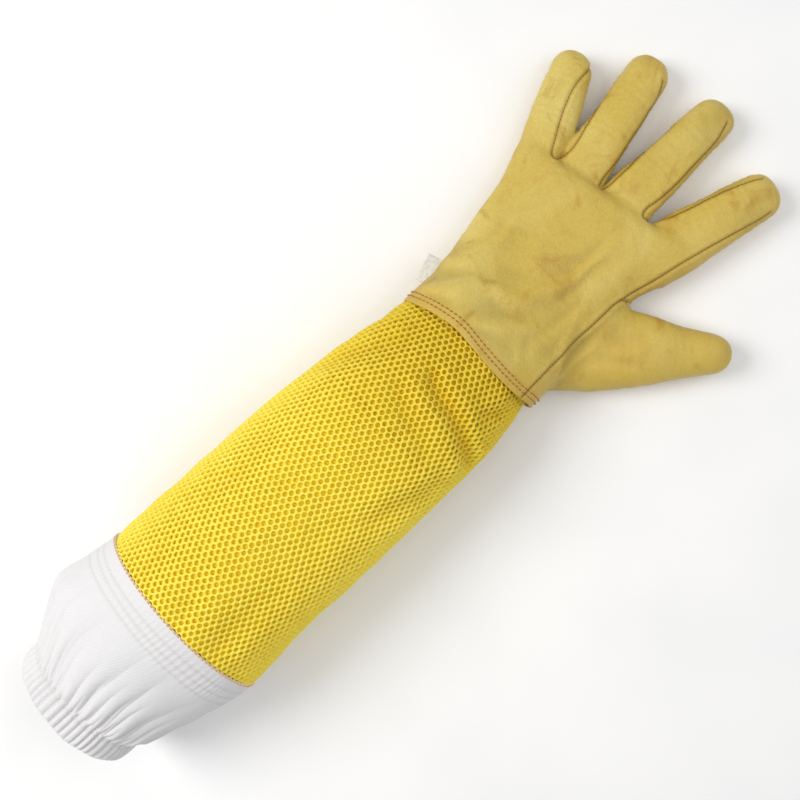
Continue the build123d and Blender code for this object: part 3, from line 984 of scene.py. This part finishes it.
ROW, PITCH = 3.0, 3.8
HOLE_ALONG, HOLE_AROUND, HOLE_DEPTH = 1.28, 1.2, 1.7
CORNERS = [(2.1, 0.0), (0.898, 1.9), (-0.898, 1.9), (-2.1, 0.0), (-0.898, -1.9), (0.898, -1.9)]
OUTLINE = []
for a, b in zip(CORNERS, CORNERS[1:] + CORNERS[:1]):
    OUTLINE += [a, ((a[0] + b[0]) / 2, (a[1] + b[1]) / 2)]
OUTLINE = np.array(OUTLINE)


def lattice(x_from, x_to, gap):
    """The knitted mesh: hexagonal cells with an oval hole in each."""
    cells = []
    first = math.ceil((x_from + 178) / ROW)
    last = math.floor((x_to + 178) / ROW)
    for i in range(first, last + 1):
        x = -178 + i * ROW
        half = np.interp(x, ARC_X, arc_half) - gap
        count = int(half / PITCH) + 1
        for j in range(-count, count + 1):
            v = (j + (i % 2) / 2) * PITCH
            if abs(v) < half:
                cells.append((x, v))
    cells = np.array(cells)
    draw = np.random.default_rng(int(1000 + x_from))
    size = draw.normal(1, 0.045, (len(cells), 1, 1))
    shift = draw.normal(0, 0.07, (len(cells), 1, 2))
    outline = cells[:, None] + OUTLINE[None]
    angle = np.pi / 6 * np.arange(12)
    hole = np.stack([HOLE_ALONG * np.cos(angle), HOLE_AROUND * np.sin(angle)], axis=1)[None] * size
    rim = cells[:, None] + shift + hole * 1.06
    mid = cells[:, None] + shift * 0.6 + 0.45 * OUTLINE[None] + 0.55 * hole * 1.12
    well = cells[:, None] + shift + hole * 0.93
    flat = outline.reshape(-1, 2)
    keys = np.round(flat * 50).astype(np.int64)
    _, first_use, back = np.unique(keys, axis=0, return_index=True, return_inverse=True)
    back = back.reshape(-1)
    shared = flat[first_use]
    n = len(cells)
    places = np.vstack([shared, mid.reshape(-1, 2), rim.reshape(-1, 2), well.reshape(-1, 2)])
    m = len(shared)
    depth = np.repeat([0.0, 0.05, 0.42, HOLE_DEPTH], [m, 12 * n, 12 * n, 12 * n])
    rings = [back.reshape(n, 12), m + np.arange(12 * n).reshape(n, 12)]
    rings.append(rings[1] + 12 * n)
    rings.append(rings[2] + 12 * n)
    quads = []
    for upper, lower in zip(rings[:-1], rings[1:]):
        turned = np.roll(upper, -1, axis=1), np.roll(lower, -1, axis=1)
        quads.append(np.stack([upper, *turned, lower], axis=2).reshape(-1, 4))
    quads = np.vstack(quads)
    points, fold = sleeve_surface(places[:, 0], places[:, 1], depth)
    if (normals_of(points, quads)[:m] * (points[:m] - [0, 11, 40]) * [0, 1, 1]).sum() < 0:
        quads = quads[:, ::-1]
    shade = smooth_step(places[:, 0], -60, 40) * 0.75 + np.clip(-fold * 0.25, 0, 0.4)
    return points, quads, np.clip(depth / HOLE_DEPTH, 0, 1), shade


SEAM_GAP = 4.0
# Bodies and places given to blends for the wrist, from wholly on the hand to wholly on the sleeve, in metres
WRIST = ("hand", "sleeve", (0.040, 0, 0.033), (0.004, 0, 0.033))
CUTS = [-173.6, -125.0, -74.0, -23.0, 55.0]
for number, (low, high) in enumerate(zip(CUTS[:-1], CUTS[1:])):
    points_, quads_, depth_, shade_ = lattice(low, high, SEAM_GAP)
    last = number == len(CUTS) - 2
    name = "mesh_wrist" if last else f"mesh_sleeve_{number + 1}"
    obj = piece(name, points_, quads_, MESH, Depth=depth_, Shade=shade_)
    if last:
        blends(obj, WRIST, "mesh", "wrist_mesh_outer", "mesh_tuck")
    else:
        rides(obj, "sleeve", "mesh", *(["sleeve_mesh_outer"] if number == 0 else []))


def sleeve_shell(x_from, x_to, depth, thickness, step=4.0):
    """A plain layer of the sleeve, all the way round."""
    xs = np.arange(x_from, x_to + 0.1, step)
    turns = 160
    xx = np.repeat(xs, turns)
    half = np.interp(xx, ARC_X, arc_half)
    vv = np.tile(np.linspace(-1, 1, turns, endpoint=False), len(xs)) * half
    p, _ = sleeve_surface(xx, vv, depth + 0 * xx)
    q = grid_quads(len(xs), turns, wrap_columns=True)
    q, n = face_outward(p, q, [0, 11, 40])
    return thick_shell(p, q, n, thickness)


p, q, n = sleeve_shell(-176, -20, 2.1, 0.6)
sleeve_lining = piece("lining_sleeve", p, q, LINING)
rides(sleeve_lining, "sleeve", "lining", "sleeve_mesh_lining", "sleeve_mesh_spacer")
p, q, n = sleeve_shell(-20, 56, 2.1, 0.6)
wrist_lining = piece("lining_wrist", p, q, LINING)
blends(wrist_lining, WRIST, "lining", "wrist_mesh_lining", "wrist_mesh_spacer")


def seam_tape(x_from, x_to, name, half_width=5.5, depth=-0.1):
    """The tape over the sleeve's lengthwise seam, on its underside."""
    xs = np.arange(x_from, x_to + 0.1, 2.0)
    across = np.linspace(-half_width, half_width, 15)
    xx = np.repeat(xs, len(across))
    half = np.interp(xx, ARC_X, arc_half)
    ww = np.tile(across, len(xs))
    vv = np.where(ww < 0, half + ww, -(half - ww))
    p, _ = sleeve_surface(xx, vv, depth + 0 * xx)
    q = grid_quads(len(xs), len(across))
    n = normals_of(p, q)
    if n[:, 2].sum() > 0:
        q, n = q[:, ::-1], -n
    p, q, n = thick_shell(p, q, n, 0.8)
    return piece(name, p, q, MESH, Depth=np.zeros(len(p)), Shade=np.full(len(p), 0.5))


rides(seam_tape(-173, -20, "sleeve_seam_tape"), "sleeve", "mesh", "sleeve_side_seam")
blends(seam_tape(-20, 54, "wrist_seam_tape"), WRIST, "mesh")

# ---------------------------------------------------------------- the canvas cuff
# x, centre y, half width, height of the canvas
CUFF = [
    (-169, 10.8, 56.1, 86.1),
    (-176, 11.2, 56.4, 86.4),
    (-190, 13.2, 56.2, 86.6),
    (-202, 15.7, 55.4, 85.6),
    (-212, 16.4, 53.6, 84.4),
    (-220, 16.3, 50.6, 83),
    (-230, 14.9, 46.6, 81),
    (-238, 13.4, 42.4, 79.6),
    (-244, 13, 39.4, 78.6),
]
cuff_y, cuff_half, cuff_height = curves(CUFF)
RUFFLES = 56


def fold_wave(turn, count, phase):
    """Rounded ridges with sharp valleys between them, mean about 0."""
    return np.abs(np.sin(turn * count / 2 + phase)) ** 0.75 - 0.66


def drift_at(turn):
    """How far the folds wander round the cuff."""
    return 0.35 * np.sin(3 * turn + 1.0) + 0.22 * np.sin(7 * turn + 2.2) + 0.12 * np.sin(13 * turn + 0.4)


def casing_ruffle(turn):
    """The casing's ridges, their unevenness, and how far they stand off the casing's outside."""
    ridge = fold_wave(turn, RUFFLES, 1.9 * drift_at(turn))
    uneven = 0.5 * np.sin(11 * turn + 1) + 0.4 * np.sin(5 * turn)
    return ridge, uneven, 1.7 * ridge * (1 + 0.4 * uneven)


def canvas_surface(x, turn):
    g = np.clip((-170 - x) / 72, 0, 1)
    drift = drift_at(turn)
    soft = 0.9 * np.sin(5 * turn + 0.6 + 1.3 * g) + 0.6 * np.sin(8 * turn + 2.1 - 1.2 * g)
    long = fold_wave(turn + 0.05 * np.sin(4 * g + 5 * turn), 15, 0.4 + 0.8 * drift)
    short = fold_wave(turn, 34, 1.1 + 1.6 * drift)
    ruffle = fold_wave(turn, RUFFLES, 1.9 * drift)
    out = 0.9 * g * (1 - 0.6 * g) * soft + 2.6 * smooth_step(g, 0.15, 0.85) * (1 - 0.35 * g) * long
    out += 1.9 * smooth_step(g, 0.45, 0.95) * short + 1.2 * smooth_step(g, 0.78, 1.0) * ruffle
    # An angular corner on the little finger's side
    out += 1.8 * bell(x + 210, 9) * bell(turn - 1.5, 0.5)
    rows = np.zeros_like(x)
    for place in (-178.6, -183.2, -188.0):
        line = place + 0.5 * np.sin(2 * turn + place)
        rows += bell(x - line, 0.7)
    pucker = np.sin(turn * 95 + 3 * np.sin(6 * turn)) * bell(x + 182, 9)
    out += 0.12 * pucker - 0.24 * rows
    # The folds run into the casing's own ridges, so that no gap shows between the two
    sewn = smooth_step(-x, 237.5, 242.4)
    out = out * (1 - sewn) + (casing_ruffle(turn)[2] - 0.9) * sewn
    p = np.stack([x, cuff_y(x) + cuff_half(x) * np.sin(turn), cuff_height(x) / 2 * (1 + np.cos(turn))], axis=1)
    n = np.stack([0 * x, np.sin(turn) / cuff_half(x), 2 * np.cos(turn) / cuff_height(x)], axis=1)
    n /= np.linalg.norm(n, axis=1)[:, None]
    p = p + n * out[:, None]
    p[:, 2] = np.maximum(p[:, 2], 0.2)
    return p, np.clip(-out * 0.25, 0, 1) * smooth_step(g, 0.1, 0.5), rows


TURNS = 816
xs = np.concatenate([np.arange(-171.4, -192, -0.7), np.arange(-192, -243.4, -1.0)])
turns = np.linspace(-np.pi, np.pi, TURNS, endpoint=False)
xx, tt = np.repeat(xs, TURNS), np.tile(turns, len(xs))
p, shade, rows = canvas_surface(xx, tt)
edge = p[:TURNS].copy()
# The edge at the mesh is turned under: three more rows, each further in than the last
for back, down in ((0.35, 0.35), (0.2, 0.9), (-0.8, 1.2)):
    lip = edge + [back, 0, 0]
    lip[:, 1:] = (lip[:, 1:] - [11, 43]) * (1 - down / 50) + [11, 43]
    p = np.vstack([lip, p])
shade, rows = (np.concatenate([np.zeros(3 * TURNS), f]) for f in (shade, rows))
xx, tt = (np.concatenate([np.tile(f[:TURNS], 3), f]) for f in (xx, tt))
q = grid_quads(len(xs) + 3, TURNS, wrap_columns=True)
q, n = face_outward(p, q, [0, 13, 40])
cloth = np.stack([xx, tt * 50, 0 * xx], axis=1)
p, q, n = thick_shell(p, q, n, 0.7)
canvas_fields = {"Cloth": np.tile(cloth, (2, 1)), "Shade": np.tile(shade, 2), "Row": np.tile(rows, 2)}
canvas = piece("canvas_sleeve_end", p, q, CANVAS, **canvas_fields)
CUFF_BEND = ("sleeve", "cuff", (-0.177, 0, 0.043), (-0.199, 0, 0.043))
blends(canvas, CUFF_BEND, "canvas", "canvas_seam_band", "canvas_cuff")

# The casing of the elastic: a folded band, tightly ruffled
RING_Y, RING_Z = 13.0, 39.5
CASING_ROW, SEAM_ROW = -242.6, -171.7
RING_STEPS = 1440


def ring_points(x, radius, turn):
    return np.stack([x, RING_Y + radius * np.sin(turn), RING_Z + radius * np.cos(turn)], axis=1)


outer = [(-240.2, 38.3), (-241.2, 39.4), (-243.5, 39.5), (-247.5, 39.7), (-251.5, 39.5), (-254.2, 38.9)]
inner = [(-255.4, 37.7), (-254.6, 36.5), (-251.5, 36.1), (-247, 36.1), (-243, 36.2), (-240.8, 36.8)]
loop_x, loop_r = np.array(smooth_line(outer + inner + outer[:1], 3))[:-1].T
turn2 = np.repeat(turns, len(loop_x))
lx, lr = np.tile(loop_x, TURNS), np.tile(loop_r, TURNS)
ruffle, uneven, stand_off = casing_ruffle(turn2)
outer_side = smooth_step(lr, 36.4, 39.2)
out = (0.5 + 1.2 * outer_side) / 1.7 * stand_off
squeeze = -0.55 * bell(lx - CASING_ROW, 0.8) * outer_side
lx = lx + (0.7 * ruffle + 0.5 * uneven) * smooth_step(-lx, 249, 255)
radius = lr + out + squeeze
p = ring_points(lx, radius, turn2)
p[:, 2] = np.maximum(p[:, 2], 0.2)
q = grid_quads(TURNS, len(loop_x), wrap_rows=True, wrap_columns=True)
n = normals_of(p, q)
outside = np.stack([0 * lx, np.sin(turn2), np.cos(turn2)], axis=1)
if (n * outside * (outer_side[:, None] - 0.5)).sum() < 0:
    q, n = q[:, ::-1], -n
cloth = np.stack([lx, turn2 * 50, 0 * lx], axis=1)
casing_fields = {"Cloth": cloth, "Shade": np.clip(-out * 0.5, 0, 1), "Row": bell(lx - CASING_ROW, 0.8)}
casing = piece("elastic_casing_ruffle", p, q, CANVAS, **casing_fields)
rides(casing, "cuff", "canvas", "elastic_casing")

# The elastic inside the casing: a ribbed band
ELASTIC_STEPS = 240
turns3 = np.linspace(0, 2 * np.pi, ELASTIC_STEPS, endpoint=False)
band = [(-252.0, 37.4), (-251.3, 37.9), (-243.8, 37.9), (-243.1, 37.4), (-243.8, 37.0), (-251.3, 37.0)]
bx, br = np.array(smooth_line(band + band[:1], 3))[:-1].T
t3 = np.repeat(turns3, len(bx))
p = ring_points(np.tile(bx, ELASTIC_STEPS), np.tile(br, ELASTIC_STEPS), t3)
q = grid_quads(ELASTIC_STEPS, len(bx), wrap_rows=True, wrap_columns=True)
elastic = piece("elastic_band_ribbed", p, q, ELASTIC)
rides(elastic, "cuff", "elastic", "elastic_band")


ROUND_PITCH = 2.6


def round_stitches(line, radius, lift, centre):
    """A row of stitches along a closed line round the arm."""

    def facing(where, run, p):
        n = (p - centre) * [0, 1, 1]
        return n / np.linalg.norm(n, axis=1)[:, None]

    reach = ROUND_PITCH * 0.8 * np.array([0, 0.15, 0.35, 0.5, 0.65, 0.85, 1])
    girth = radius * np.array([0.4, 0.85, 1, 1, 1, 0.85, 0.4])
    rise = lift * np.array([-1.4, 0.2, 0.85, 1, 0.85, 0.2, -1.4])
    return stitches_along(line, facing, 0, ROUND_PITCH, reach, girth, rise, 1.5, sides=5)


line_turns = np.linspace(-np.pi, np.pi, RING_STEPS + 1)
seam_line, _, _ = canvas_surface(np.full(RING_STEPS + 1, SEAM_ROW), line_turns)
tp, tq = gather(round_stitches(seam_line, 0.36, 0.2, [0, 11, 43]))
binding = piece("cuff_seam_stitches", tp, tq, ORANGE)
rides(binding, "sleeve", "hem_thread", "seam_binding")

ring_radius = 38.85 + casing_ruffle(line_turns)[2]
ring_line = ring_points(CASING_ROW + 0 * line_turns, ring_radius, line_turns)
tp, tq = gather(round_stitches(ring_line, 0.28, 0.25, [0, RING_Y, RING_Z]))
casing_row = piece("casing_stitches", tp, tq, WHITE)
rides(casing_row, "cuff", "white_thread", "casing_stitching")


# ---------------------------------------------------------------- floor, light and camera
def pale_floor():
    n = Nodes("floor", 0.9, 0.1)
    colour = n.mix(n.scaled(n.noise(0.01, 2.0), 0.3, 0.7), srgb(250, 250, 250), srgb(246, 246, 247))
    return n.finish(colour)


size = 2600.0
corner = np.array([[-1, -1, 0], [1, -1, 0], [1, 1, 0], [-1, 1, 0]], float) * size
floor = piece("floor", corner + [0, 0, -0.05], np.array([[0, 1, 2, 3]]), pale_floor())


def area_light(name, place, target, size, power, colour=(1, 1, 1)):
    data = bpy.data.lights.new(name, "AREA")
    data.shape = "DISK"
    data.size = size
    data.energy = power
    data.color = colour
    lamp = bpy.data.objects.new(name, data)
    bpy.context.scene.collection.objects.link(lamp)
    lamp.location = place
    lamp.rotation_euler = (Vector(target) - Vector(place)).to_track_quat("-Z", "Y").to_euler()
    return lamp


area_light("key", (-0.55, 0.75, 0.95), (0, 0.0, 0.02), 0.7, 10.5, (1.0, 0.99, 0.97))
area_light("fill", (0.7, -0.5, 0.9), (0, 0, 0), 1.2, 3.4)
area_light("top", (0.0, 0.0, 1.4), (0, 0, 0), 1.4, 4.6)
world = bpy.data.worlds.new("studio")
bpy.context.scene.world = world
world.use_nodes = True
background = world.node_tree.nodes["Background"]
background.inputs["Color"].default_value = (1, 1, 1, 1)
background.inputs["Strength"].default_value = 0.34

camera_data = bpy.data.cameras.new("camera")
camera_data.lens = 45
camera_data.sensor_width = 36
camera_data.clip_start = 0.01
camera_data.clip_end = 50
camera = bpy.data.objects.new("camera", camera_data)
bpy.context.scene.collection.objects.link(camera)
camera.location = (-0.0046, 0.0160, 0.602)
camera.rotation_euler = (0, 0, math.radians(-42.48))
bpy.context.scene.camera = camera
bpy.context.scene.view_settings.view_transform = "Standard"
bpy.context.view_layer.update()
